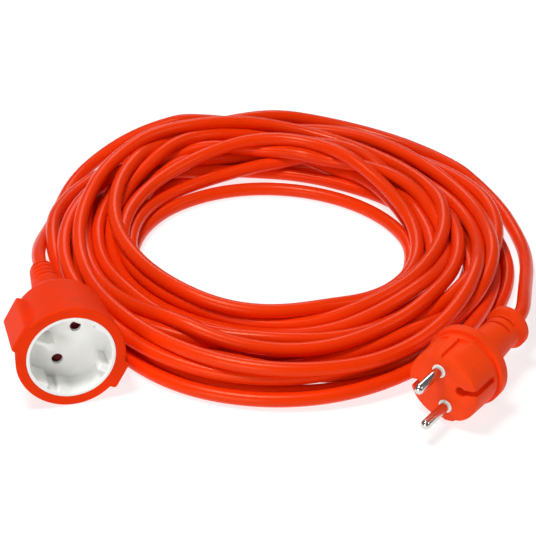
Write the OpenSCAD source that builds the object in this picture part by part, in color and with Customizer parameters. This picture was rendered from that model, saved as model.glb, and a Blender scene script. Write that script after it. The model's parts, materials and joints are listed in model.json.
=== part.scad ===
// Two-pin extension lead: a coupler with a shuttered socket, a round cable in a loose coil,
// and a moulded plug. Units are millimetres and +Z is up.
// The coupler's mouth looks along -Y, tipped up by the taper of its body, which lies on the ground.

/* [Cable] */
// Outer diameter of the cable's sheath
cable_d = 7.2; // [6.4:0.1:7.4]
// Outer radius of the coiled bundle
coil_outer_r = 120; // [118:1:121]
// Inner radius of the coiled bundle
coil_inner_r = 64; // [62:1:68]
// Height of the coiled bundle
coil_h = 22; // [20:1:24]

/* [Coupler body] */
// Radius of the coupler's rim
rim_r = 26.2; // [25.5:0.1:27]
// Radius of the coupler's body at its back edge
body_back_r = 22.4; // [22:0.1:23]
// Distance from the rim to the back edge
body_len = 37; // [36:0.5:39]
// Width of each side wing
wing_w = 15; // [10:0.5:16]
// Distance from the coupler's axis to a wing's outer face
wing_reach = 28; // [27:0.5:29]
// Length of a wing along the coupler
wing_len = 28; // [20:1:32]
// Tip-up of the mouth, equal to the taper of the body
coupler_tilt = 6; // [5:0.5:7]
// Roll of the wing line about the coupler's axis
coupler_roll = -32; // [-40:1:-24]

/* [Socket] */
// Spacing of the two pins
pin_pitch = 19; // [18.8:0.1:19.2]
// Radius of a pin hole in the recess floor
pin_hole_r = 2.7; // [2.6:0.05:2.9]
// Radius of the recess
recess_r = 19.6; // [19.3:0.1:19.8]
// Depth of the recess
recess_depth = 14.1; // [13.6:0.1:14.4]
// Thickness of the recess floor
floor_t = 2.4; // [2:0.1:2.4]

/* [Shutter] */
// Radius of the pivot that the shutter turns on
pivot_r = 2; // [1.8:0.1:2.2]
// Radial clearance between the pivot and the shutter
pivot_gap = 0.05; // [0.02:0.01:0.1]
// Half width of one shutter wing
lobe_half_w = 3.1; // [3:0.05:3.2]

/* [Plug] */
// Radius of a pin
pin_r = 2.4; // [2.35:0.01:2.4]
// Length of a pin in front of the plug's face
pin_len = 19; // [18:0.5:19]
// Radius of the plug's front body
plug_r = 18.6; // [18.2:0.1:18.8]
// Length of the plug's front body
plug_front_len = 18.5; // [18:0.5:19]
// Radius of the finger flange
flange_r = 20.3; // [19.8:0.1:20.3]
// Radius of the collar at the plug's end
collar_r = 10.8; // [9.5:0.1:11.5]
// Overall length of the plug's body behind its face
plug_len = 62; // [62:1:62]
// Turn of the plug away from the coupler's direction
plug_turn = 52; // [48:1:56]
// Roll of the plug about its own axis
plug_roll = 14; // [0:1:30]

/* [Hidden] */
$fn = 72;
gap = 0.1;
cable_r = cable_d / 2;
half_pitch = pin_pitch / 2;
floor_back = -recess_depth - floor_t;

// Width of the slope that eases the coupler's rim
rim_edge = 1;
// Place of the coupler: the middle of its mouth, on the axis
mouth = [0, -43.2, rim_r * cos(coupler_tilt) + rim_edge * sin(coupler_tilt)];
// Place of the plug: the middle of its face, on the axis
plug_face = [162, -104, flange_r + 0.1];
// Middle of the coil on the ground
coil_centre = [128, 45, 0];

// Stations along the coupler, measured from the rim into the body
rim_depth = 2;
skirt_end = -22;
shutter_front = floor_back - 0.3;
shutter_back = shutter_front - 3;
carrier_front = shutter_back - 0.3;
carrier_back = -24;
sleeve_back = -34;
contact_back = -35.2;
barrel_back = -41;
cap_bend = -34;
cap_shoulder = -52;
cap_back = -54;
protector_flange_back = -56.2;
housing_back = -58;
protector_back = -89;
sheath_front = -51;

// Radii of the coupler's inner parts
skirt_or = 20.6;
skirt_ir = 18.8;
sleeve_r = 5.4;
contact_bore_r = 3.7;
contact_r = 3.6;
contact_ir = 2.35;
contact_collar_r = 4.6;
barrel_r = 2;
barrel_bore_r = 1.2;
strand_r = 0.8;
core_r = 1.5;
cap_tail_r = 9.9;
bore_r = cable_r + gap;
protector_root_r = 9;

// Stations along the plug, measured from its face
plug_slot_len = 16;
flange_front = -20;
flange_back = -24.6;
bridge_front = -5;
bridge_back = -9;
pin_flange_back = bridge_back - gap - 1;
pin_flange_r = 3;
plug_barrel_back = -18;
lead_room_front = -17.9;
lead_room_bend = -23;
plug_sheath_front = -30;
plug_tab_half_w = 2.4;
plug_flat_y = 16.7;
pin_collar_r = 3.4;
pin_collar_top = 0.4;

// Route of the cable from the coupler to the coil
coupler_route = [
    [0, 45.3, 16.9], [0.4, 57, 15.4], [2.2, 68.8, 12.8], [5.4, 80.6, 9.6], [9.8, 92.2, 6.6],
    [14.8, 103.8, 4.6], [20, 116.2, 3.8], [25.6, 128.6, 3.8], [32.6, 140.8, 4.4], [42, 151.6, 6],
    [53.6, 160.2, 8.4], [66.8, 166.6, 11.4], [81, 170.2, 14.4], [95.8, 171.2, 17], [110.6, 169.6, 19],
    [124.6, 165.6, 20.2], [138, 159.6, 20.6]];

// Route of the cable from the coil to the plug
plug_route = [
    [211, -65.8, 20.4], [217, -60.9, 20.2], [222, -54, 19.3], [225.8, -46.4, 17.8], [229.8, -37.8, 15.8],
    [234, -28.8, 13.6], [238.4, -19.4, 11.3], [242.8, -9.6, 9], [246.8, 1, 6.9], [250.2, 12.2, 5.2],
    [252.4, 23.8, 4.1], [253.6, 35.8, 3.7], [254, 48, 3.7], [253.4, 60.2, 3.8], [251.6, 72.2, 4.2],
    [248.6, 84, 5.2], [244.2, 95.4, 6.8], [237.8, 105.8, 8.8], [228.4, 114.4, 11]];

// A tube of radius r with sides edges, one ring at each point of path
function unit(v) = v / norm(v);
function tangent(p, i) =
    i == 0 ? unit(p[1] - p[0])
    : i == len(p) - 1 ? unit(p[i] - p[i - 1])
    : unit(unit(p[i + 1] - p[i]) + unit(p[i] - p[i - 1]));
function ring(p, i, r, sides) =
    let (t = tangent(p, i), s = unit(cross(t, [0, 0, 1])), u = cross(s, t))
    [for (k = [0 : sides - 1]) p[i] + r * (cos(360 * k / sides) * s + sin(360 * k / sides) * u)];

module tube(path, r, sides) {
    n = len(path);
    points = [for (i = [0 : n - 1]) each ring(path, i, r, sides)];
    walls = [for (i = [0 : n - 2], k = [0 : sides - 1])
        let (j = (k + 1) % sides)
        [i * sides + k, (i + 1) * sides + k, (i + 1) * sides + j, i * sides + j]];
    polyhedron(points, concat(walls,
        [[for (k = [0 : sides - 1]) k]],
        [[for (k = [sides - 1 : -1 : 0]) (n - 1) * sides + k]]), convexity = 10);
}

// The same tube upright: its path runs along Z, so each ring lies flat
module upright_tube(path, r, sides) {
    n = len(path);
    points = [for (p = path, k = [0 : sides - 1])
        p + r * [cos(360 * k / sides), sin(360 * k / sides), 0]];
    walls = [for (i = [0 : n - 2], k = [0 : sides - 1])
        let (j = (k + 1) % sides)
        [i * sides + k, (i + 1) * sides + k, (i + 1) * sides + j, i * sides + j]];
    polyhedron(points, concat(walls,
        [[for (k = [0 : sides - 1]) k]],
        [[for (k = [sides - 1 : -1 : 0]) (n - 1) * sides + k]]), convexity = 10);
}

// Frames: inside them +Z runs out of the mouth or out of the plug's face
module at_coupler()
    translate(mouth) rotate([90 - coupler_tilt, 0, 0]) rotate([0, 0, coupler_roll]) children();

module at_plug()
    translate(plug_face) rotate([0, 0, -plug_turn]) rotate([90, 0, 0])
    rotate([0, 0, plug_roll]) children();

module rod(r, from, to, x = 0, y = 0)
    translate([x, y, min(from, to)]) cylinder(r = r, h = abs(to - from));

// An S-shaped core that runs from the cable's axis out to one contact
function core_path(y0, y1, from, to) =
    [for (i = [0 : 8])
        let (f = i / 8)
        [0, y0 + (y1 - y0) * (1 - cos(180 * f)) / 2, from + (to - from) * f]];

module coupler_housing() color("orangered") at_coupler() difference() {
    union() {
        rotate_extrude($fn = 120) polygon([
            [0, 0], [rim_r - rim_edge, 0], [rim_r, -rim_edge], [body_back_r, -body_len],
            [body_back_r - 1.6, -body_len - 3], [16.5, -45], [12, -54], [11.4, housing_back + 1],
            [10.4, housing_back], [0, housing_back]]);
        translate([-wing_reach, -wing_w / 2, -wing_len]) cube([2 * wing_reach, wing_w, wing_len]);
    }
    rotate_extrude($fn = 120) polygon([
        [0, 1], [21.3, 1], [21.3, -rim_depth - gap], [skirt_or + gap, -rim_depth - gap],
        [skirt_or + gap, cap_bend], [cap_tail_r + gap, cap_shoulder],
        [cap_tail_r + gap, protector_flange_back - gap],
        [protector_root_r + gap, protector_flange_back - gap],
        [protector_root_r + gap, housing_back - 1], [0, housing_back - 1]]);
}

// One guide lug of the socket: a block in the wall with a flat inner face
module guide_lug(side_x, side_y) intersection() {
    rod(recess_r + 0.5, -recess_depth - 1, -0.6);
    translate([side_x > 0 ? 3.1 : -9.5, side_y > 0 ? 17.3 : -20.3, -recess_depth - 0.5])
        cube([6.4, 3, recess_depth]);
}

module socket_insert() color("white") at_coupler() difference() {
    union() {
        rotate_extrude($fn = 120) polygon([
            [recess_r, 0], [21.2, 0], [21.2, -rim_depth], [skirt_or, -rim_depth], [skirt_or, skirt_end],
            [skirt_ir, skirt_end], [skirt_ir, floor_back], [0, floor_back], [0, -recess_depth],
            [recess_r, -recess_depth]]);
        for (sx = [-1, 1], sy = [-1, 1]) guide_lug(sx, sy);
        translate([15.2, -1.7, -recess_depth - 0.5]) cube([4.8, 3.4, recess_depth]);
        translate([-20, -0.9, -recess_depth - 0.5]) cube([10, 1.8, recess_depth - 3]);
        rod(2.2, -recess_depth - 0.5, -3.5, x = -10);
    }
    for (s = [-1, 1]) rod(pin_hole_r, floor_back - 1, -recess_depth + 1, y = s * half_pitch);
}

// One wing of the shutter: a wedge that turns when a pin pushes on its slope
module shutter_lobe()
    translate([0, 13.2, 0]) rotate([90, 0, 0]) linear_extrude(10)
        polygon([[-lobe_half_w, shutter_back], [lobe_half_w, shutter_back],
                 [lobe_half_w, shutter_front - 1.5], [-lobe_half_w, shutter_front]]);

module shutter() color("maroon") at_coupler() difference() {
    union() {
        rod(4.8, shutter_back, shutter_front);
        for (a = [0, 180]) rotate([0, 0, a]) shutter_lobe();
    }
    rod(pivot_r + pivot_gap, shutter_back - 1, shutter_front + 1);
}

module shutter_spring() color("silver") at_coupler() {
    rotate_extrude() translate([3.1, 0]) polygon([[0, carrier_front - 2.9], [0.45, carrier_front - 2.9],
        [0.45, carrier_front - 0.8], [0, carrier_front - 0.8]]);
    translate([3.3, 0, carrier_front - 1.3]) rotate([-90, 0, 0]) cylinder(r = 0.25, h = 6, $fn = 24);
    translate([-3.3, -6, carrier_front - 2.4]) rotate([-90, 0, 0]) cylinder(r = 0.25, h = 6, $fn = 24);
}

module contact_carrier() color("lightgray") at_coupler() difference() {
    union() {
        rod(skirt_ir - gap, carrier_back, carrier_front);
        rod(skirt_or, carrier_back, skirt_end - gap);
        rod(pivot_r, carrier_front - 0.5, floor_back - gap);
        for (s = [-1, 1]) rod(sleeve_r, sleeve_back, carrier_back + 0.5, y = s * half_pitch);
    }
    for (s = [-1, 1]) rod(contact_bore_r, sleeve_back - 1, carrier_front + 1, y = s * half_pitch);
    difference() {
        union() {
            rod(4.2, carrier_front - 3.1, carrier_front + 1);
            translate([2.8, 0, carrier_front - 3.1]) cube([1, 6.4, 4]);
            translate([-3.8, -6.4, carrier_front - 3.1]) cube([1, 6.4, 4]);
        }
        rod(pivot_r, carrier_front - 4, carrier_front + 2);
    }
}

module inner_cap() color("dimgray") at_coupler() rotate_extrude($fn = 96) polygon([
    [skirt_or, carrier_back - gap], [skirt_or, cap_bend], [cap_tail_r, cap_shoulder], [cap_tail_r, cap_back],
    [bore_r, cap_back], [bore_r, cap_shoulder], [8.3, cap_shoulder], [skirt_or - 1.7, cap_bend],
    [skirt_or - 1.7, carrier_back - gap]]);

// A brass contact: a slit sleeve for the pin, a collar and a crimp barrel
module contact(side) at_coupler() difference() {
    union() {
        rod(contact_r, contact_back, carrier_front - 1, y = side * half_pitch);
        rod(contact_collar_r, contact_back, sleeve_back - gap, y = side * half_pitch);
        rod(barrel_r, barrel_back, contact_back + 0.5, y = side * half_pitch);
    }
    rod(contact_ir, sleeve_back + 0.4, carrier_front, y = side * half_pitch);
    rod(barrel_bore_r, barrel_back - 1, contact_back + 0.3, y = side * half_pitch);
    for (a = [0, 90]) translate([0, side * half_pitch, sleeve_back + 3]) rotate([0, 0, a + 45])
        translate([-5, -0.4, 0]) cube([10, 0.8, 20]);
}

module contact_line() color("goldenrod") contact(1);

module contact_neutral() color("goldenrod") contact(-1);

module strands(side) color("peru") at_coupler()
    rod(strand_r, barrel_back - 1.5, contact_back - 0.4, y = side * half_pitch);

module coupler_strands_line() strands(1);

module coupler_strands_neutral() strands(-1);

module coupler_lead(side) at_coupler()
    upright_tube(
        core_path(side * 1.65, side * half_pitch, sheath_front + 0.1, barrel_back - 1.6), core_r, 12);

module coupler_lead_brown() color("saddlebrown") coupler_lead(1);

module coupler_lead_blue() color("royalblue") coupler_lead(-1);

module coupler_bend_protector() color("orangered") at_coupler() difference() {
    rotate_extrude($fn = 72) polygon([
        [bore_r, cap_back - gap], [cap_tail_r, cap_back - gap], [cap_tail_r, protector_flange_back],
        [protector_root_r, protector_flange_back], [protector_root_r - 0.2, housing_back - 2],
        [8, -70], [6.5, -86], [5.6, protector_back + 0.6], [4.9, protector_back], [bore_r, protector_back]]);
    for (i = [0 : 3], a = [0, 180]) rotate([0, 0, a - coupler_roll])
        translate([-10, 4.6, -72.2 - 4.6 * i]) cube([20, 6, 1.3]);
}

module coupler_cable_end() color("orangered") at_coupler()
    rod(cable_r, protector_back, sheath_front);

module cable_coupler_tail() color("orangered") tube(coupler_route, cable_r, 12);

// The coil as one ring, with a corner cut away where its turns bow inwards to pass the coupler
module cable_coil() color("orangered") difference() {
    translate(coil_centre) rotate_extrude($fn = 144) union() {
        translate([coil_inner_r + coil_h / 2, 0]) square([coil_outer_r - coil_inner_r - coil_h, coil_h]);
        translate([coil_inner_r + coil_h / 2, coil_h / 2]) circle(r = coil_h / 2);
        translate([coil_outer_r - coil_h / 2, coil_h / 2]) circle(r = coil_h / 2);
    }
    translate([-10, -100, -1]) cube([39, 134, coil_h + 2]);
}

module cable_plug_tail() color("orangered") tube(plug_route, cable_r, 12);

// Outline of the plug's moulding along its axis
module plug_outline() rotate_extrude($fn = 120) polygon([
    [0, 0], [plug_r - 1.9, 0], [plug_r - 0.7, -0.5], [plug_r - 0.2, -1.6],
    [plug_r + 0.3, 0.9 - plug_front_len],
    [plug_r - 0.3, -plug_front_len], [plug_r - 0.3, flange_front], [flange_r, flange_front],
    [flange_r, flange_back], [13.6, flange_back - 1.6], [10.4, -30], [9.4, -40], [8.6, -50],
    [8.6, -56], [collar_r, -57.5], [collar_r, 1.4 - plug_len], [collar_r - 1.4, -plug_len], [0, -plug_len]]);

// Room for the two cores behind the pins, narrowing towards the cable
module lead_room() rotate([90, 0, 90]) linear_extrude(5.2, center = true) polygon([
    [-11.9, lead_room_front], [-11.9, lead_room_bend], [-4.2, plug_sheath_front - gap],
    [4.2, plug_sheath_front - gap], [11.9, lead_room_bend], [11.9, lead_room_front]]);

module plug_body() color("orangered") at_plug() difference() {
    plug_outline();
    for (a = [0, 180]) rotate([0, 0, a]) {
        translate([plug_tab_half_w, plug_flat_y, -plug_slot_len]) cube([12, 6, plug_slot_len + 1]);
        translate([-12 - plug_tab_half_w, plug_flat_y, -plug_slot_len]) cube([12, 6, plug_slot_len + 1]);
    }
    rod(2.7, -plug_slot_len, 1, x = 10);
    translate([10, -1.5, -plug_slot_len]) cube([12, 3, plug_slot_len + 1]);
    translate([-22, -2.4, -plug_slot_len]) cube([9.5, 4.8, plug_slot_len + 1]);
    for (s = [-1, 1]) {
        rod(pin_collar_r + gap, bridge_front - 1, 1, y = s * half_pitch);
        rod(barrel_r + gap, plug_barrel_back, bridge_back, y = s * half_pitch);
        rod(pin_flange_r + gap, pin_flange_back - gap, bridge_back, y = s * half_pitch);
    }
    translate([-4.1, -14.1, bridge_back - gap]) cube([8.2, 28.2, bridge_front - bridge_back + 2 * gap]);
    lead_room();
    rod(cable_r + gap, -plug_len - 1, plug_sheath_front);
    for (z = [-49.2, -54.2], side = [0, 180]) rotate([0, 0, side - plug_roll])
        translate([-9, 5, z - 0.7]) cube([18, 8, 1.4]);
}

module plug_pin_bridge() color("white") at_plug() difference() {
    union() {
        translate([-4, -14, bridge_back]) cube([8, 28, bridge_front - bridge_back]);
        for (s = [-1, 1]) rod(pin_collar_r, bridge_front - 0.5, pin_collar_top, y = s * half_pitch);
    }
    for (s = [-1, 1]) rod(barrel_r + gap, bridge_back - 1, 2, y = s * half_pitch);
}

// A solid pin with a rounded tip, a thinner shank through the bridge, a flange behind it and a crimp barrel
module plug_pin(side) color("silver") at_plug() translate([0, side * half_pitch, 0]) difference() {
    union() {
        rotate_extrude($fn = 48) polygon([
            [0, plug_barrel_back + gap], [barrel_r, plug_barrel_back + gap], [barrel_r, pin_flange_back],
            [pin_flange_r, pin_flange_back], [pin_flange_r, bridge_back - gap], [barrel_r, bridge_back - gap],
            [barrel_r, pin_collar_top], [pin_r, pin_collar_top],
            [pin_r, pin_len - pin_r], [0, pin_len - pin_r]]);
        translate([0, 0, pin_len - pin_r]) sphere(r = pin_r, $fn = 48);
    }
    rod(barrel_bore_r, plug_barrel_back - 1, plug_barrel_back + 5);
}

module plug_pin_line() plug_pin(1);

module plug_pin_neutral() plug_pin(-1);

module plug_strands(side) color("peru") at_plug()
    rod(strand_r, plug_barrel_back - 1.4, plug_barrel_back + 4, y = side * half_pitch);

module plug_strands_line() plug_strands(1);

module plug_strands_neutral() plug_strands(-1);

module plug_lead(side) at_plug() upright_tube(
    core_path(side * 1.65, side * half_pitch, plug_sheath_front + 0.1, plug_barrel_back - 1.5), core_r, 12);

module plug_lead_brown() color("saddlebrown") plug_lead(1);

module plug_lead_blue() color("royalblue") plug_lead(-1);

module plug_cable_end() color("orangered") at_plug() rod(cable_r, -plug_len, plug_sheath_front);

coupler_housing();
socket_insert();
shutter();
shutter_spring();
contact_carrier();
inner_cap();
contact_line();
contact_neutral();
coupler_strands_line();
coupler_strands_neutral();
coupler_lead_brown();
coupler_lead_blue();
coupler_bend_protector();
coupler_cable_end();
cable_coupler_tail();
cable_coil();
cable_plug_tail();
plug_body();
plug_pin_bridge();
plug_pin_line();
plug_pin_neutral();
plug_strands_line();
plug_strands_neutral();
plug_lead_brown();
plug_lead_blue();
plug_cable_end();
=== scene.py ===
"""Extension lead: a shuttered coupler, a round cable in a loose coil and a moulded plug.

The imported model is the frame. Shapes are worked out in millimetres in the coupler's or the plug's own
axes, where +Z runs out of the mouth or out of the plug's face, and are placed in metres.
"""

import functools
import json
import math

import bmesh
import bpy
import numpy as np
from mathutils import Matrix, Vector


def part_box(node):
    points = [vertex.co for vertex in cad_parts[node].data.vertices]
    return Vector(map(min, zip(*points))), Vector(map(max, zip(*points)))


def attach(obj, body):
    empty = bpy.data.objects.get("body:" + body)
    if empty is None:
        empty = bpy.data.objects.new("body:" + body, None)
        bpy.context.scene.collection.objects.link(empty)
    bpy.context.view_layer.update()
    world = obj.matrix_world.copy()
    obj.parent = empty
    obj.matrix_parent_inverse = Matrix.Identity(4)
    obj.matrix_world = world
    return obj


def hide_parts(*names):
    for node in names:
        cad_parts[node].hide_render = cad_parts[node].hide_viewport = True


bl_info = {
    "name": "Extension lead",
    "version": (1, 0, 0),
    "blender": (4, 5, 0),
    "location": "View3D > Sidebar > Lead",
    "description": "Builds the cable, the coupler, the plug and the stage around the packed model",
    "category": "Add Mesh",
}

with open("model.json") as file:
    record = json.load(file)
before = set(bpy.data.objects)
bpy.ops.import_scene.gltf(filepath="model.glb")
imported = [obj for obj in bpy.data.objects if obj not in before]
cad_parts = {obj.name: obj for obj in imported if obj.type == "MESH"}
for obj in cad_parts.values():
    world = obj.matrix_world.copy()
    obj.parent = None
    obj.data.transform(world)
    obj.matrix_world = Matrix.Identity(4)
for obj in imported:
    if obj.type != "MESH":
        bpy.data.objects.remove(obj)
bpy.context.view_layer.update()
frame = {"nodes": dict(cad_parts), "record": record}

MM = 0.001
TURN = 2 * math.pi

# Route of the cable from the coupler to the coil, in millimetres
COUPLER_ROUTE = [
    (0, 45.3, 16.9), (0.4, 57, 15.4), (2.2, 68.8, 12.8), (5.4, 80.6, 9.6), (9.8, 92.2, 6.6),
    (14.8, 103.8, 4.6), (20, 116.2, 3.8), (25.6, 128.6, 3.8), (32.6, 140.8, 4.4), (42, 151.6, 6),
    (53.6, 160.2, 8.4), (66.8, 166.6, 11.4), (81, 170.2, 14.4), (95.8, 171.2, 17), (110.6, 169.6, 19),
    (124.6, 165.6, 20.2), (138, 159.6, 20.6)]

# Route of the cable from the plug to the coil, in millimetres
PLUG_ROUTE = [
    (211, -65.8, 20.4), (217, -60.9, 20.2), (222, -54, 19.3), (225.8, -46.4, 17.8), (229.8, -37.8, 15.8),
    (234, -28.8, 13.6), (238.4, -19.4, 11.3), (242.8, -9.6, 9), (246.8, 1, 6.9), (250.2, 12.2, 5.2),
    (252.4, 23.8, 4.1), (253.6, 35.8, 3.7), (254, 48, 3.7), (253.4, 60.2, 3.8), (251.6, 72.2, 4.2),
    (248.6, 84, 5.2), (244.2, 95.4, 6.8), (237.8, 105.8, 8.8), (228.4, 114.4, 11)]

# Room for the cable's centreline about the coil's middle: an angle in degrees, then the nearest and
# the farthest in millimetres
ROOM = [
    (-165, 78, 113), (-152, 78, 112), (-140, 76, 121), (-110, 69, 121), (-70, 66, 120), (-30, 67, 120),
    (0, 66, 121), (30, 58, 121), (60, 58, 121), (90, 62, 123), (120, 73, 126), (150, 79, 125), (180, 80, 120)]

# Where each loop lies across that room, from 0 inside to 1 outside: at the back, right, front and left
LOOPS = [
    (1, 0.8, 0.95, 0.8), (0.8, 0.7, 1, 1), (0.55, 0.6, 0.7, 0.9), (0.9, 0.85, 0.5, 0.5),
    (0.4, 0.45, 0.9, 0.35), (0.62, 0.9, 0.35, 0.95), (0.3, 0.3, 0.2, 0.25), (0.55, 0.1, 0.1, 0.1),
    (0, 0, 0.05, 0), (0.28, 0.5, 0.55, 0.65), (0.6, 0.25, 0.3, 0.35), (0.8, 0.7, 0.85, 0.95),
    (0.35, 0.3, 0.2, 0.15), (0.7, 0.5, 1, 0.6), (0.7, 0.35, 0.15, 0.05), (0.45, 0.1, 0.15, 0),
    (0.84, 1, 1, 1)]


class Axes:
    """A piece's own axes: millimetres inside, metres in the frame outside."""

    def __init__(self, origin, x, y, z):
        self.origin = np.array(origin, float)
        self.turn = np.array([x, y, z], float)

    def place(self, points):
        return self.origin + (np.asarray(points, float) * MM) @ self.turn


def mount(name):
    found = next(m for m in frame["record"]["mounts"] if m["name"] == name)
    return np.array(found["pos_m"], float), np.array(found["axis"], float)


def pin_axes(first, second, origin, out):
    """Axes with +Y from the second pin line point to the first, and +Z along out."""
    z = out / np.linalg.norm(out)
    y = first - second
    y = y - (y @ z) * z
    y = y / np.linalg.norm(y)
    return Axes(origin, np.cross(y, z), y, z)


def coupler_axes():
    centre, out = mount("plug_recess")
    return pin_axes(mount("socket_hole_1")[0], mount("socket_hole_2")[0], centre, out)


def plug_axes():
    first, out = mount("plug_pin_1")
    second = mount("plug_pin_2")[0]
    return pin_axes(first, second, (first + second) / 2 - 8.5 * MM * out, out)


# ---------------------------------------------------------------- meshes


def mesh_object(name, points, faces, smooth=True):
    """A mesh object at the origin from an array of points and an array of equal-sized faces."""
    mesh = bpy.data.meshes.new(name)
    mesh.vertices.add(len(points))
    mesh.vertices.foreach_set("co", np.asarray(points, np.float32).ravel())
    sides = faces.shape[1]
    mesh.loops.add(faces.size)
    mesh.loops.foreach_set("vertex_index", faces.ravel().astype(np.int32))
    mesh.polygons.add(len(faces))
    mesh.polygons.foreach_set("loop_start", np.arange(0, faces.size, sides, dtype=np.int32))
    mesh.update(calc_edges=True)
    mesh.polygons.foreach_set("use_smooth", np.full(len(faces), smooth))
    mesh.validate()
    thing = bpy.data.objects.new(name, mesh)
    bpy.context.scene.collection.objects.link(thing)
    return thing


def point_outwards(mesh):
    """Merges doubles, then turns every face of a closed shell outwards."""
    bm = bmesh.new()
    bm.from_mesh(mesh)
    bmesh.ops.remove_doubles(bm, verts=bm.verts, dist=1e-6)
    bmesh.ops.recalc_face_normals(bm, faces=bm.faces)
    bm.to_mesh(mesh)
    bm.free()


def grid_faces(rows, columns, closed):
    """Quads between neighbouring points of a grid, which joins up round its columns, and also round its
    rows if closed."""
    r = np.arange(rows if closed else rows - 1)[:, None]
    c = np.arange(columns)[None, :]
    r2, c2 = (r + 1) % rows, (c + 1) % columns
    quads = [r * columns + c, r * columns + c2, r2 * columns + c2, r2 * columns + c]
    return np.stack([np.broadcast_to(q, (len(r), columns)) for q in quads], -1).reshape(-1, 4)


def polar_shell(name, axes, angles, depths, radii):
    """A closed ring-shaped skin: row i, column j lies at depth i below the face and at radius (i, j)
    along angle j, and the last row joins the first."""
    x, y = radii * np.cos(angles), radii * np.sin(angles)
    z = np.broadcast_to(-np.asarray(depths, float)[:, None], x.shape)
    points = axes.place(np.stack([x, y, z], -1).reshape(-1, 3))
    piece = mesh_object(name, points, grid_faces(*x.shape, closed=True))
    point_outwards(piece.data)
    return piece


def spun(name, axes, outline, at):
    """A closed outline of (radius, depth) points turned about an axis parallel to +Z through at."""
    outline = np.asarray(outline, float)
    segments = 96
    angles = np.arange(segments) * TURN / segments
    radii = np.maximum(outline[:, :1], 1e-4) * np.ones(segments)
    x, y = at[0] + radii * np.cos(angles), at[1] + radii * np.sin(angles)
    z = np.broadcast_to(-outline[:, 1:], x.shape)
    points = axes.place(np.stack([x, y, z], -1).reshape(-1, 3))
    piece = mesh_object(name, points, grid_faces(*x.shape, closed=True))
    point_outwards(piece.data)
    return piece


def arc(centre, radius, start, stop, steps=6):
    """Points of (radius, depth) along an arc, angles in degrees."""
    a = np.radians(np.linspace(start, stop, steps))
    return [(centre[0] + radius * c, centre[1] + radius * s) for c, s in zip(np.cos(a), np.sin(a))]


def eased_copy(node, name, width):
    """A copy of a node with its doubles merged, its flats made whole and its sharp edges rounded."""
    mesh = frame["nodes"][node].data.copy()
    mesh.name = name
    bm = bmesh.new()
    bm.from_mesh(mesh)
    bmesh.ops.remove_doubles(bm, verts=bm.verts, dist=2e-6)
    bmesh.ops.dissolve_limit(bm, angle_limit=math.radians(0.3), verts=bm.verts, edges=bm.edges)
    bmesh.ops.recalc_face_normals(bm, faces=bm.faces)
    for face in bm.faces:
        face.smooth = True
    bm.to_mesh(mesh)
    bm.free()
    mesh.materials.clear()
    piece = bpy.data.objects.new(name, mesh)
    bpy.context.scene.collection.objects.link(piece)
    bevel = piece.modifiers.new("eased edges", "BEVEL")
    bevel.width = width * MM
    bevel.segments = 3
    bevel.limit_method = "ANGLE"
    bevel.angle_limit = math.radians(32)
    bevel.harden_normals = True
    return piece


def stand_in(piece, body, material, slot, *nodes):
    """Gives a new piece its finish, its body and the nodes that it stands for."""
    piece.data.materials.append(material)
    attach(piece, body)
    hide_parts(*nodes)
    return piece


# ---------------------------------------------------------------- the cable's lay


def smooth_line(points, steps):
    """A smooth line through the points, with steps places between each pair (a Catmull-Rom spline)."""
    p = np.asarray(points, float)
    q = np.vstack([2 * p[0] - p[1], p, 2 * p[-1] - p[-2]])
    t = np.linspace(0, 1, steps, endpoint=False)[None, :, None]
    a, b, c, d = (q[i : len(q) - 3 + i][:, None, :] for i in range(4))
    line = 2 * b + (c - a) * t + (2 * a - 5 * b + 4 * c - d) * t**2 + (3 * b - a - 3 * c + d) * t**3
    return np.vstack([line.reshape(-1, p.shape[1]) / 2, p[-1:]])


def ease(share):
    share = np.clip(share, 0, 1)
    return share * share * (3 - 2 * share)


def around(line, centre):
    """A line's angle about the coil's middle, its distance from it and its height."""
    off = line[:, :2] - centre
    return np.unwrap(np.arctan2(off[:, 1], off[:, 0])), np.hypot(off[:, 0], off[:, 1]), line[:, 2]


def room_at(angle):
    """The nearest and the farthest that the centreline may lie, smoothly round the coil."""
    table = np.array(ROOM, float)
    before, after = table[-2:] - (360, 0, 0), table[:2] + (360, 0, 0)
    degrees, nearest, farthest = smooth_line(np.vstack([before, table, after]), 12).T
    turned = np.degrees(angle)
    nearest = np.interp(turned, degrees, nearest, period=360)
    farthest = np.interp(turned, degrees, farthest, period=360)
    return nearest, farthest


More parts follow.
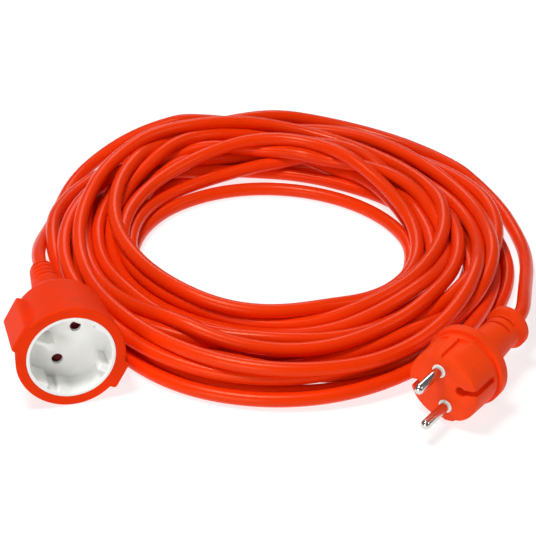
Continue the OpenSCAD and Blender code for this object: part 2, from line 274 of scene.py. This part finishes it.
def lay_cable(diameter, whole_turns, stations, rounds):
    """The cable's centreline in millimetres. Both ends follow their routes. Between them each loop starts
    at its own place across the room, higher than the loop before it, and then all sink together: every
    round lowers them, draws them a little to their places, straightens them, and pushes apart any two
    that lie closer than a diameter at the same angle. The last stretch of each route settles with them."""
    # How far a round sinks the cable, and the share of each difference that a round takes away
    fall, pull, push_share = 0.06, 0.02, 0.6
    even_far, even_height, even_bend = 0.5, 0.35, 0.3
    # Millimetres that each loop starts above the one before, and that a loop may be pushed outside its room
    climb_per_turn, spare_room = 2.2, 4
    # The radians of each route that settle too, the turns over which the coil joins them, and the share of
    # the rounds that sink it
    settle_out, settle_in = 0.25, 0.2
    join_turns, sinking = 0.3, 0.85
    # Places between two of the shares in LOOPS
    fine = 20
    low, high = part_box("cable_coil")
    centre = np.array([low.x + high.x, low.y + high.y]) / 2 / MM
    floor = diameter / 2
    out_angle, out_far, out_height = around(smooth_line(COUPLER_ROUTE, 8), centre)
    in_angle, in_far, in_height = around(smooth_line(PLUG_ROUTE[::-1], 8), centre)
    in_angle = in_angle - TURN * (whole_turns + (in_angle[0] > out_angle[-1]))
    angle = np.linspace(out_angle[0], in_angle[-1], round((out_angle[0] - in_angle[-1]) / TURN * stations))
    between = (angle < out_angle[-1]) & (angle > in_angle[0])
    free = (angle < out_angle[-1] + settle_out) & (angle > in_angle[0] - settle_in)
    far = np.interp(-angle, -out_angle, out_far)
    height = np.interp(-angle, -out_angle, out_height)
    ends = angle <= in_angle[0]
    far[ends] = np.interp(-angle[ends], -in_angle, in_far)
    height[ends] = np.interp(-angle[ends], -in_angle, in_height)

    done = (out_angle[-1] - angle) / TURN
    leave, arrive = ease(done / join_turns), ease((angle - in_angle[0]) / TURN / join_turns)
    quarter = (math.pi / 2 - angle) / (TURN / 4)
    shares = smooth_line(np.array(LOOPS, float).reshape(-1, 1), fine)[:, 0]
    share = np.interp(quarter, np.arange(len(shares)) / fine, shares)
    nearest, farthest = room_at(angle)

    def joined(value, first, last):
        return value * leave * arrive + (1 - leave) * first + (1 - arrive) * last

    first, last = np.flatnonzero(between)[[0, -1]] + [-1, 1]
    goal = joined(nearest + share * (farthest - nearest), far[first], far[last])
    goal = np.clip(goal, nearest, farthest + spare_room)
    goal = np.where(between, goal, far)
    far = goal.copy()
    height = np.where(between, joined(floor + climb_per_turn * done, height[first], height[last]), height)

    step = len(angle) / ((angle[0] - angle[-1]) / TURN)
    lags = [round(step * turns) for turns in range(1, whole_turns + 3) if step * turns < len(angle)]
    bend = np.zeros_like(far)
    for now in range(rounds):
        if now < sinking * rounds:
            height[free] -= fall
            far[free] += pull * (goal[free] - far[free])
        for line, even in ((far, even_far), (height, even_height)):
            line[1:-1] += np.where(free[1:-1], even * ((line[:-2] + line[2:]) / 2 - line[1:-1]), 0)
            bend[1:-1] = (line[:-2] + line[2:]) / 2 - line[1:-1]
            line[2:-2] -= np.where(free[2:-2], even_bend * ((bend[1:-3] + bend[3:-1]) / 2 - bend[2:-2]), 0)
        for lag in lags:
            across, up = far[lag:] - far[:-lag], height[lag:] - height[:-lag]
            apart = np.hypot(across, up) + 1e-9
            push = push_share * np.maximum(0, diameter - apart) / apart
            a, b = free[:-lag] * 1.0, free[lag:] * 1.0
            part = np.maximum(a + b, 1)
            far[:-lag] -= push * across * a / part
            height[:-lag] -= push * up * a / part
            far[lag:] += push * across * b / part
            height[lag:] += push * up * b / part
        height = np.where(free, np.maximum(height, floor), height)
        far = np.where(between, np.clip(far, nearest, farthest + spare_room), far)
    line = np.stack([centre[0] + far * np.cos(angle), centre[1] + far * np.sin(angle), height], -1)
    line[0], line[-1] = COUPLER_ROUTE[0], PLUG_ROUTE[0]
    return smooth_line(line, 2)


def tube(name, line, radius, sides):
    """A tube about a line: each ring lies square to the line, with its first point to the side.
    The attribute run holds the ring's unit circle and the metres along the cable."""
    line = np.asarray(line, float)
    ahead = np.gradient(line, axis=0)
    ahead /= np.linalg.norm(ahead, axis=1, keepdims=True)
    side = np.cross(ahead, [0.0, 0.0, 1.0])
    side /= np.linalg.norm(side, axis=1, keepdims=True)
    up = np.cross(side, ahead)
    a = np.arange(sides) * TURN / sides
    ring = np.cos(a)[None, :, None] * side[:, None, :] + np.sin(a)[None, :, None] * up[:, None, :]
    points = (line[:, None, :] + radius * ring).reshape(-1, 3)
    faces = grid_faces(len(line), sides, closed=False)
    ends = np.vstack([line[:1], line[-1:]])
    points = np.vstack([points, ends])
    piece = mesh_object(name, points, faces)
    bm = bmesh.new()
    bm.from_mesh(piece.data)
    bm.verts.ensure_lookup_table()
    total = len(line) * sides
    for middle, start in ((total, 0), (total + 1, total - sides)):
        for k in range(sides):
            bm.faces.new((bm.verts[middle], bm.verts[start + k], bm.verts[start + (k + 1) % sides]))
    bmesh.ops.recalc_face_normals(bm, faces=bm.faces)
    bm.to_mesh(piece.data)
    bm.free()
    along = np.concatenate([[0], np.cumsum(np.linalg.norm(np.diff(line, axis=0), axis=1))])
    run = np.zeros((len(points), 3))
    run[:total, 0] = np.tile(np.cos(a), len(line))
    run[:total, 1] = np.tile(np.sin(a), len(line))
    run[:total, 2] = np.repeat(along, sides)
    run[total:, 2] = along[[0, -1]]
    mark = piece.data.attributes.new("run", "FLOAT_VECTOR", "POINT")
    mark.data.foreach_set("vector", run.astype(np.float32).ravel())
    return piece


@functools.lru_cache(maxsize=1)
def cable_line():
    """The cable's centreline in metres, worked out once."""
    sizes = bpy.context.scene.lead_sizes
    return lay_cable(sizes.cable_diameter / MM, sizes.whole_turns, stations=120, rounds=1500) * MM


# ---------------------------------------------------------------- the coupler's and the plug's shapes

RIM_R, BACK_R, BODY_LEN = 26.2, 22.4, 37.0
WING_REACH, WING_HALF, WING_LEN = 28.0, 7.5, 28.0
SEAT_R = 21.3
PROTECTOR_EXIT = 89.0
FIRST_GROOVE, GROOVES = 71.55, 4
GROOVE_FLOOR, GROOVE_WIDTH, GROOVE_STEP = 4.6, 1.3, 4.6
COUPLER_ROLL = math.radians(-32)


def wing_angles(around_wing=40, across=18, between=60):
    """Angles once round the coupler, close together beside the wings' corners and wider elsewhere."""
    corner, foot = math.radians(13.4), math.radians(20.5)
    half = [np.linspace(-corner, corner, across, endpoint=False),
            np.linspace(corner, foot, around_wing, endpoint=False),
            np.linspace(foot, math.pi - foot, between, endpoint=False),
            np.linspace(math.pi - foot, math.pi - corner, around_wing, endpoint=False)]
    half = np.concatenate(half)
    return np.concatenate([half, half + math.pi])


def wing_outline(angles, body):
    """Radius of the housing's section: the larger of the round body and a bar with rounded corners across
    it (a superellipse of power 20), blended where they meet."""
    power, blend = 20, 0.28
    along, across = np.abs(np.cos(angles) / WING_REACH), np.abs(np.sin(angles) / WING_HALF)
    bar = (along**power + across**power) ** (-1 / power)
    return body + blend * np.logaddexp(0, (bar - body) / blend)


def housing_shell(axes, edge):
    """The housing as one closed skin: the flat front ring, a rounded edge, the tapering body with its wings,
    the wings' back faces, the crisp back edge, the cone behind it, and the seat for the insert inside."""
    angles = wing_angles()
    plain = np.ones_like(angles)
    rows = []

    def body(depth):
        return RIM_R + (BACK_R - RIM_R) * depth / BODY_LEN

    def winged(depth, inset=0.0):
        round_part = body(depth) * plain
        return np.maximum(wing_outline(angles, round_part) - inset, round_part - inset)

    rows += [(0, SEAT_R * plain), (0, (SEAT_R + 0.4) * plain)]
    lip = winged(0, edge)
    rows += [(0, SEAT_R + 0.4 + (lip - SEAT_R - 0.4) * f) for f in (0.5, 0.97, 1.0)]
    for a in np.radians(np.linspace(12, 90, 7)):
        depth = edge * (1 - math.cos(a))
        rows.append((depth, winged(depth, edge * (1 - math.sin(a)))))
    rows += [(d, winged(d)) for d in np.linspace(edge + 0.3, WING_LEN - edge, 14)]
    for a in np.radians(np.linspace(12, 90, 7)):
        depth = WING_LEN - edge * (1 - math.sin(a))
        wing = wing_outline(angles, body(depth) * plain)
        rows.append((depth, np.maximum(wing - edge * (1 - math.cos(a)), body(depth))))
    wing = np.maximum(wing_outline(angles, body(WING_LEN) * plain) - edge, body(WING_LEN))
    rows += [(WING_LEN, wing + (body(WING_LEN) - wing) * f) for f in (0.5, 0.95, 1.0)]
    rows += [(d, body(d) * plain) for d in (WING_LEN + 0.05, 30, 33, BODY_LEN - 0.9)]
    rows += [(z, r * plain) for r, z in arc((BACK_R - 0.75, BODY_LEN - 0.75), 0.8, 5, 75, 6)]
    behind = [
        (21.4, 38.2), (20.6, 40), (18.6, 42.7), (16.5, 45), (14.2, 49), (12, 54), (11.6, 56), (11.2, 57.3),
        (10.4, 58), (9.15, 58), (9.15, 56.4), (10, 56.4), (10, 52), (20.7, 34), (20.7, 2.15),
        (SEAT_R, 2.1), (SEAT_R, 1)]
    rows += [(z, r * plain) for r, z in behind]
    depths = np.array([row[0] for row in rows])
    radii = np.stack([row[1] for row in rows])
    return polar_shell("housing", axes, angles, depths, radii)


def protector_shell(axes):
    """The bend protector: a tapering sleeve whose top and bottom are cut by four straight grooves each.
    Inside a groove the radius is at most the distance to the groove's flat floor along that angle."""
    angles = np.arange(144) * TURN / 144
    outline = np.array([
        (9, 56.2), (8.8, 60), (8, 70), (7.2, 78), (6.5, 86), (6.1, 87.6), (5.6, 88.4), (4.9, 89)])
    middles = FIRST_GROOVE + GROOVE_STEP * np.arange(GROOVES)
    beside = [middle + np.linspace(-1, 1, 13) * GROOVE_WIDTH for middle in middles]
    deep = np.unique(np.concatenate([np.linspace(56.2, PROTECTOR_EXIT, 60)] + beside))
    plain = np.interp(deep, outline[:, 1], outline[:, 0])
    nearest = np.min(np.abs(deep[:, None] - middles), axis=1)
    inside = ease((GROOVE_WIDTH / 2 + 0.3 - nearest) / 0.45)
    floor = GROOVE_FLOOR / np.maximum(np.abs(np.sin(angles + COUPLER_ROLL)), 1e-3)
    cut = np.maximum(0, plain[:, None] - floor[None, :])
    soft = cut * cut / (cut + 0.15)
    radii = plain[:, None] - inside[:, None] * soft
    ends = [(4.9, PROTECTOR_EXIT), (3.62, PROTECTOR_EXIT), (3.62, 54.2), (9.8, 54.2), (9.8, 56.1)]
    depths = np.concatenate([deep, [z for _, z in ends]])
    radii = np.vstack([radii, [r * np.ones_like(angles) for r, _ in ends]])
    return polar_shell("bend_sleeve", axes, angles, depths, radii)


def pin_outline():
    """A pin's outline from the middle of its tip back to its crimp barrel and round: (radius, depth)."""
    tip = arc((0, -16.6), 2.4, -90, 0, 14)
    front = [
        (2.4, -12), (2.4, -6), (2.4, -0.5), (2.4, -0.42), (2.38, -0.4), (2.02, -0.4), (2.0, -0.38),
        (2.0, 9.1)]
    back = [(3, 9.1), (3, 10.1), (2, 10.1), (2, 17.9), (1.2, 17.9), (1.2, 13), (0, 13)]
    return tip + front + back


PIN_SPACING = 19


# ---------------------------------------------------------------- materials


def node_group(name, inputs, outputs):
    group = bpy.data.node_groups.new(name, "ShaderNodeTree")
    for socket, default in inputs:
        made = group.interface.new_socket(name=socket, in_out="INPUT", socket_type="NodeSocketFloat")
        made.default_value = default
    for socket, kind in outputs:
        group.interface.new_socket(name=socket, in_out="OUTPUT", socket_type=kind)
    return group, group.nodes.new("NodeGroupInput"), group.nodes.new("NodeGroupOutput")


def mould_grain():
    """Moulded plastic: a fine even grain as a height, and a slow drift of tone. Scale sets how many grains
    there are in a metre, and Drift how many changes of tone."""
    name = "mould grain"
    if name in bpy.data.node_groups:
        return bpy.data.node_groups[name]
    group, given, result = node_group(
        name, [("Scale", 2500.0), ("Drift", 60.0)],
        [("Height", "NodeSocketFloat"), ("Tone", "NodeSocketFloat")])
    links, nodes = group.links, group.nodes
    where = nodes.new("ShaderNodeTexCoord")
    grain = nodes.new("ShaderNodeTexNoise")
    grain.inputs["Detail"].default_value = 3
    grain.inputs["Roughness"].default_value = 0.6
    drift = nodes.new("ShaderNodeTexNoise")
    drift.inputs["Detail"].default_value = 2
    for texture, socket in ((grain, "Scale"), (drift, "Drift")):
        links.new(where.outputs["Object"], texture.inputs["Vector"])
        links.new(given.outputs[socket], texture.inputs["Scale"])
    links.new(grain.outputs["Fac"], result.inputs["Height"])
    links.new(drift.outputs["Fac"], result.inputs["Tone"])
    return group


def new_material(name):
    material = bpy.data.materials.new(name)
    material.use_nodes = True
    tree = material.node_tree
    return material, tree.nodes, tree.links, tree.nodes["Principled BSDF"]


def toned(nodes, links, value, colour, darker, lighter):
    """A colour that goes from darker to lighter times itself as value goes from 0.3 to 0.7."""
    ramp = nodes.new("ShaderNodeValToRGB")
    ramp.color_ramp.elements[0].position = 0.3
    ramp.color_ramp.elements[1].position = 0.7
    ramp.color_ramp.elements[0].color = (*(c * darker for c in colour), 1)
    ramp.color_ramp.elements[1].color = (*(min(1, c * lighter) for c in colour), 1)
    links.new(value, ramp.inputs["Fac"])
    return ramp.outputs["Color"]


def spread_of_roughness(nodes, links, value, low, high):
    span = nodes.new("ShaderNodeMapRange")
    span.inputs["From Min"].default_value = 0.3
    span.inputs["From Max"].default_value = 0.7
    span.inputs["To Min"].default_value = low
    span.inputs["To Max"].default_value = high
    links.new(value, span.inputs["Value"])
    return span.outputs["Result"]


def bumped(nodes, links, height, depth_mm):
    bump = nodes.new("ShaderNodeBump")
    bump.inputs["Distance"].default_value = depth_mm * MM
    bump.inputs["Strength"].default_value = 1
    links.new(height, bump.inputs["Height"])
    return bump.outputs["Normal"]


def moulded(name, colour, rough, grain=2500.0, depth_mm=0.02, metal=0.0, soft=0.0, shine=0.28):
    """Moulded or plated stuff with its own grain. The roughness drifts between the two values of rough; soft
    is the share of light that goes below the surface, and shine the strength of a plastic's reflections."""
    material, nodes, links, shader = new_material(name)
    group = nodes.new("ShaderNodeGroup")
    group.node_tree = mould_grain()
    group.inputs["Scale"].default_value = grain
    group.inputs["Drift"].default_value = 60
    links.new(toned(nodes, links, group.outputs["Tone"], colour, 0.93, 1.05), shader.inputs["Base Color"])
    links.new(spread_of_roughness(nodes, links, group.outputs["Tone"], *rough), shader.inputs["Roughness"])
    links.new(bumped(nodes, links, group.outputs["Height"], depth_mm), shader.inputs["Normal"])
    shader.inputs["Metallic"].default_value = metal
    shader.inputs["Specular IOR Level"].default_value = 0.5 if metal else shine
    if not metal:
        shader.inputs["Specular Tint"].default_value = (*(0.4 + 0.6 * c for c in colour), 1)
    shader.inputs["Subsurface Weight"].default_value = soft
    shader.inputs["Subsurface Radius"].default_value = (0.004, 0.0015, 0.0008)
    shader.inputs["Subsurface Scale"].default_value = 0.4
    return material


def sheath(name, colour):
    """Extruded PVC: fine lines that run along the cable, a slow drift of tone, and a clear gloss."""
    material, nodes, links, shader = new_material(name)
    run = nodes.new("ShaderNodeAttribute")
    run.attribute_name = "run"
    stretch = nodes.new("ShaderNodeMapping")
    stretch.inputs["Scale"].default_value = (9, 9, 6)
    lines = nodes.new("ShaderNodeTexNoise")
    lines.inputs["Scale"].default_value = 1
    lines.inputs["Detail"].default_value = 3
    links.new(run.outputs["Vector"], stretch.inputs["Vector"])
    links.new(stretch.outputs["Vector"], lines.inputs["Vector"])
    group = nodes.new("ShaderNodeGroup")
    group.node_tree = mould_grain()
    group.inputs["Scale"].default_value = 900
    group.inputs["Drift"].default_value = 25
    links.new(toned(nodes, links, group.outputs["Tone"], colour, 0.94, 1.04), shader.inputs["Base Color"])
    links.new(spread_of_roughness(nodes, links, lines.outputs["Fac"], 0.25, 0.31), shader.inputs["Roughness"])
    links.new(bumped(nodes, links, lines.outputs["Fac"], 0.03), shader.inputs["Normal"])
    shader.inputs["Specular IOR Level"].default_value = 0.3
    shader.inputs["Specular Tint"].default_value = (1, 0.55, 0.35, 1)
    shader.inputs["Subsurface Weight"].default_value = 0.03
    shader.inputs["Subsurface Radius"].default_value = (0.004, 0.0012, 0.0006)
    shader.inputs["Subsurface Scale"].default_value = 0.4
    return material


# ---------------------------------------------------------------- settings


class LeadSizes(bpy.types.PropertyGroup):
    """Sizes that the pieces are built from."""

    cable_diameter: bpy.props.FloatProperty(
        name="Cable", description="Outer diameter of the cable", default=0.0072, unit="LENGTH")
    whole_turns: bpy.props.IntProperty(
        name="Turns", default=16,
        description="Whole turns in the coil, besides the part turn between its ends")
    edge: bpy.props.FloatProperty(
        name="Edges", description="Radius of the coupler's rounded edges", default=0.0009, unit="LENGTH")


class LeadColours(bpy.types.PropertyGroup):
    """Base colours of the finishes."""

    cable: bpy.props.FloatVectorProperty(
        name="Cable", description="Colour of the cable", subtype="COLOR", default=(0.87, 0.038, 0.001))
    coupler: bpy.props.FloatVectorProperty(
        name="Coupler", description="Colour of the coupler", subtype="COLOR", default=(0.88, 0.038, 0.002))
    plug: bpy.props.FloatVectorProperty(
        name="Plug", description="Colour of the plug", subtype="COLOR", default=(0.95, 0.058, 0.005))
    insert: bpy.props.FloatVectorProperty(
        name="Insert", description="Colour of the socket insert", subtype="COLOR", default=(0.94, 0.94, 0.91))


class StageSettings(bpy.types.PropertyGroup):
    """Where the camera stands and how the stage is lit."""

    azimuth: bpy.props.FloatProperty(
        name="Azimuth", description="Camera's turn about the lead", subtype="ANGLE",
        default=math.radians(-15.3))
    elevation: bpy.props.FloatProperty(
        name="Elevation", description="Camera's height as an angle", subtype="ANGLE",
        default=math.radians(34.9))
    distance: bpy.props.FloatProperty(
        name="Distance", description="From the camera to the point it looks at", default=0.953, unit="LENGTH")
    lens: bpy.props.FloatProperty(name="Lens", description="Focal length in millimetres", default=121.8)


def settings():
    return bpy.context.scene.lead_sizes, bpy.context.scene.lead_colours, bpy.context.scene.lead_stage


# ---------------------------------------------------------------- operators


class LEAD_OT_stage(bpy.types.Operator):
    """Make the camera, the pale floor and the soft lights"""

    bl_idname = "lead.stage"
    bl_label = "Stage"

    def execute(self, context):
        stage = context.scene.lead_stage
        target = Vector((0.1178, 0.0393, 0))
        flat, up = math.cos(stage.elevation), math.sin(stage.elevation)
        back = Vector((math.sin(stage.azimuth) * flat, -math.cos(stage.azimuth) * flat, up))
        lens = bpy.data.cameras.new("camera")
        lens.lens = stage.lens
        camera = bpy.data.objects.new("camera", lens)
        camera.location = target + back * stage.distance
        camera.rotation_euler = (-back).to_track_quat("-Z", "Y").to_euler()
        context.scene.collection.objects.link(camera)
        context.scene.camera = camera
        self.floor()
        self.lights(target)
        context.scene.view_settings.view_transform = "Standard"
        return {"FINISHED"}

    def floor(self):
        half = 4.0
        corners = np.array([(-half, -half, 0), (half, -half, 0), (half, half, 0), (-half, half, 0)])
        floor = mesh_object("floor", corners, np.array([[0, 1, 2, 3]]), smooth=False)
        material, _, _, shader = new_material("pale floor")
        shader.inputs["Base Color"].default_value = (0.3, 0.3, 0.3, 1)
        shader.inputs["Roughness"].default_value = 0.9
        shader.inputs["Emission Color"].default_value = (1, 1, 1, 1)
        shader.inputs["Emission Strength"].default_value = 0.76
        floor.data.materials.append(material)

    def lights(self, target):
        world = bpy.data.worlds.new("studio")
        world.use_nodes = True
        world.node_tree.nodes["Background"].inputs["Color"].default_value = (1, 1, 1, 1)
        world.node_tree.nodes["Background"].inputs["Strength"].default_value = 0.13
        bpy.context.scene.world = world
        boxes = [("key", (-0.35, -0.1, 1.3), 0.32, 11.5), ("fill", (1.1, -0.6, 0.9), 0.5, 2.5),
                 ("front", (-0.9, -1.0, 0.45), 0.6, 5.5), ("back", (0.3, 1.2, 1.0), 0.6, 4)]
        for name, off, size, power in boxes:
            light = bpy.data.lights.new(name, "AREA")
            light.shape = "SQUARE"
            light.size = size
            light.energy = power
            lamp = bpy.data.objects.new(name, light)
            lamp.location = target + Vector(off)
            lamp.rotation_euler = Vector(off).to_track_quat("Z", "Y").to_euler()
            bpy.context.scene.collection.objects.link(lamp)


class LEAD_OT_cable(bpy.types.Operator):
    """Lay the whole cable from the coupler, round the coil and to the plug"""

    bl_idname = "lead.cable"
    bl_label = "Cable"

    def execute(self, context):
        sizes, colours, _ = settings()
        cable = tube("cable", cable_line(), sizes.cable_diameter / 2, sides=20)
        stand_in(cable, "root", sheath("cable sheath", colours.cable), "cable_pvc",
                 "cable_coupler_tail", "cable_coil", "cable_plug_tail")
        return {"FINISHED"}


class LEAD_OT_coupler_housing(bpy.types.Operator):
    """Make the coupler's tapered housing with its two finger wings"""

    bl_idname = "lead.coupler_housing"
    bl_label = "Coupler housing"

    def execute(self, context):
        sizes, colours, _ = settings()
        piece = housing_shell(coupler_axes(), sizes.edge / MM)
        finish = moulded("coupler PVC", colours.coupler, (0.44, 0.52), depth_mm=0.03, soft=0.02, shine=0.08)
        stand_in(piece, "root", finish, "coupler_pvc", "coupler_housing")
        return {"FINISHED"}


class LEAD_OT_bend_protector(bpy.types.Operator):
    """Make the tapered bend protector with its cross grooves"""

    bl_idname = "lead.bend_protector"
    bl_label = "Bend protector"

    def execute(self, context):
        piece = protector_shell(coupler_axes())
        stand_in(piece, "root", bpy.data.materials["coupler PVC"], "coupler_pvc", "coupler_bend_protector")
        return {"FINISHED"}


class LEAD_OT_socket(bpy.types.Operator):
    """Make the white insert with eased edges, and finish the shutter behind its holes in a red darkened with
    painted shade
    """

    bl_idname = "lead.socket"
    bl_label = "Socket insert"

    def execute(self, context):
        _, colours, _ = settings()
        insert = eased_copy("socket_insert", "insert", 0.4)
        white = moulded("insert plastic", colours.insert, (0.22, 0.3), depth_mm=0.01, soft=0.1)
        stand_in(insert, "root", white, "white_insert", "socket_insert")
        shutter = eased_copy("shutter", "shutter_wings", 0.25)
        # The shutter's colour is partly its own red plastic and partly painted shade: it is darkened for the
        # shadow behind the socket holes
        red_in_painted_shade = moulded("shutter plastic", (0.16, 0.012, 0.01), (0.35, 0.45))
        stand_in(shutter, "shutter", red_in_painted_shade, "shutter_plastic", "shutter")
        return {"FINISHED"}


class LEAD_OT_plug(bpy.types.Operator):
    """Make the plug's moulding, its white pin bridge and its two pins"""

    bl_idname = "lead.plug"
    bl_label = "Plug"

    def execute(self, context):
        _, colours, _ = settings()
        body = eased_copy("plug_body", "plug_moulding", 0.5)
        finish = moulded(
            "plug PVC", colours.plug, (0.48, 0.58), grain=1800, depth_mm=0.05, soft=0.02, shine=0.16)
        stand_in(body, "root", finish, "plug_pvc", "plug_body")
        bridge = eased_copy("plug_pin_bridge", "pin_bridge", 0.15)
        stand_in(bridge, "root", bpy.data.materials["insert plastic"], "white_insert", "plug_pin_bridge")
        nickel = moulded(
            "nickel plate", (0.72, 0.69, 0.65), (0.16, 0.26), grain=4000, depth_mm=0.004, metal=1.0)
        for name, side in (("line", 1), ("neutral", -1)):
            pin = spun("pin_" + name, plug_axes(), pin_outline(), at=(0, side * PIN_SPACING / 2))
            stand_in(pin, "root", nickel, "nickel", "plug_pin_" + name)
        return {"FINISHED"}


class LEAD_OT_inner_parts(bpy.types.Operator):
    """Finish the contacts, cores, strands, spring and carriers inside the coupler and the plug"""

    bl_idname = "lead.inner_parts"
    bl_label = "Inner parts"

    def execute(self, context):
        _, colours, _ = settings()
        brass = moulded("brass", (0.62, 0.42, 0.16), (0.25, 0.4), grain=3000, depth_mm=0.006, metal=1.0)
        copper = moulded(
            "copper strands", (0.65, 0.28, 0.15), (0.3, 0.45), grain=6000, depth_mm=0.05, metal=1.0)
        brown = moulded("brown core", (0.10, 0.035, 0.015), (0.3, 0.4))
        blue = moulded("blue core", (0.015, 0.08, 0.42), (0.3, 0.4))
        grey = moulded("grey plastic", (0.16, 0.16, 0.17), (0.4, 0.5))
        wire = moulded("spring wire", (0.55, 0.55, 0.57), (0.2, 0.35), metal=1.0)
        jacket = moulded("hidden sheath", colours.cable, (0.3, 0.4))
        finishes = {
            "contact_line": brass, "contact_neutral": brass, "shutter_spring": wire,
            "contact_carrier": grey, "inner_cap": grey, "coupler_cable_end": jacket, "plug_cable_end": jacket}
        for end in ("coupler", "plug"):
            finishes.update({
                end + "_lead_brown": brown, end + "_lead_blue": blue,
                end + "_strands_line": copper, end + "_strands_neutral": copper})
        for node, finish in finishes.items():
            mesh = frame["nodes"][node].data
            mesh.materials.clear()
            mesh.materials.append(finish)
        return {"FINISHED"}


class LEAD_OT_declare_cable(bpy.types.Operator):
    """Work out the cable's centreline"""

    bl_idname = "lead.declare_cable"
    bl_label = "Declare the cable"

    def execute(self, context):
        line = cable_line()
        return {"FINISHED"}


class LEAD_PT_panel(bpy.types.Panel):
    """Lists the steps and the settings"""

    bl_idname = "LEAD_PT_panel"
    bl_label = "Extension lead"
    bl_space_type = "VIEW_3D"
    bl_region_type = "UI"
    bl_category = "Lead"

    def draw(self, context):
        for group in settings():
            box = self.layout.box()
            for name in group.__annotations__:
                box.prop(group, name)
        for step in STEPS:
            self.layout.operator(step.bl_idname)


STEPS = (LEAD_OT_stage, LEAD_OT_cable, LEAD_OT_coupler_housing, LEAD_OT_bend_protector, LEAD_OT_socket,
         LEAD_OT_plug, LEAD_OT_inner_parts, LEAD_OT_declare_cable)
CLASSES = (LeadSizes, LeadColours, StageSettings, *STEPS, LEAD_PT_panel)


def register():
    for made in CLASSES:
        bpy.utils.register_class(made)
    bpy.types.Scene.lead_sizes = bpy.props.PointerProperty(type=LeadSizes)
    bpy.types.Scene.lead_colours = bpy.props.PointerProperty(type=LeadColours)
    bpy.types.Scene.lead_stage = bpy.props.PointerProperty(type=StageSettings)


def unregister():
    for name in ("lead_sizes", "lead_colours", "lead_stage"):
        delattr(bpy.types.Scene, name)
    for made in reversed(CLASSES):
        bpy.utils.unregister_class(made)


def main():
    register()
    for step in STEPS:
        group, name = step.bl_idname.split(".")
        getattr(getattr(bpy.ops, group), name)()


if __name__ == "__main__":
    main()
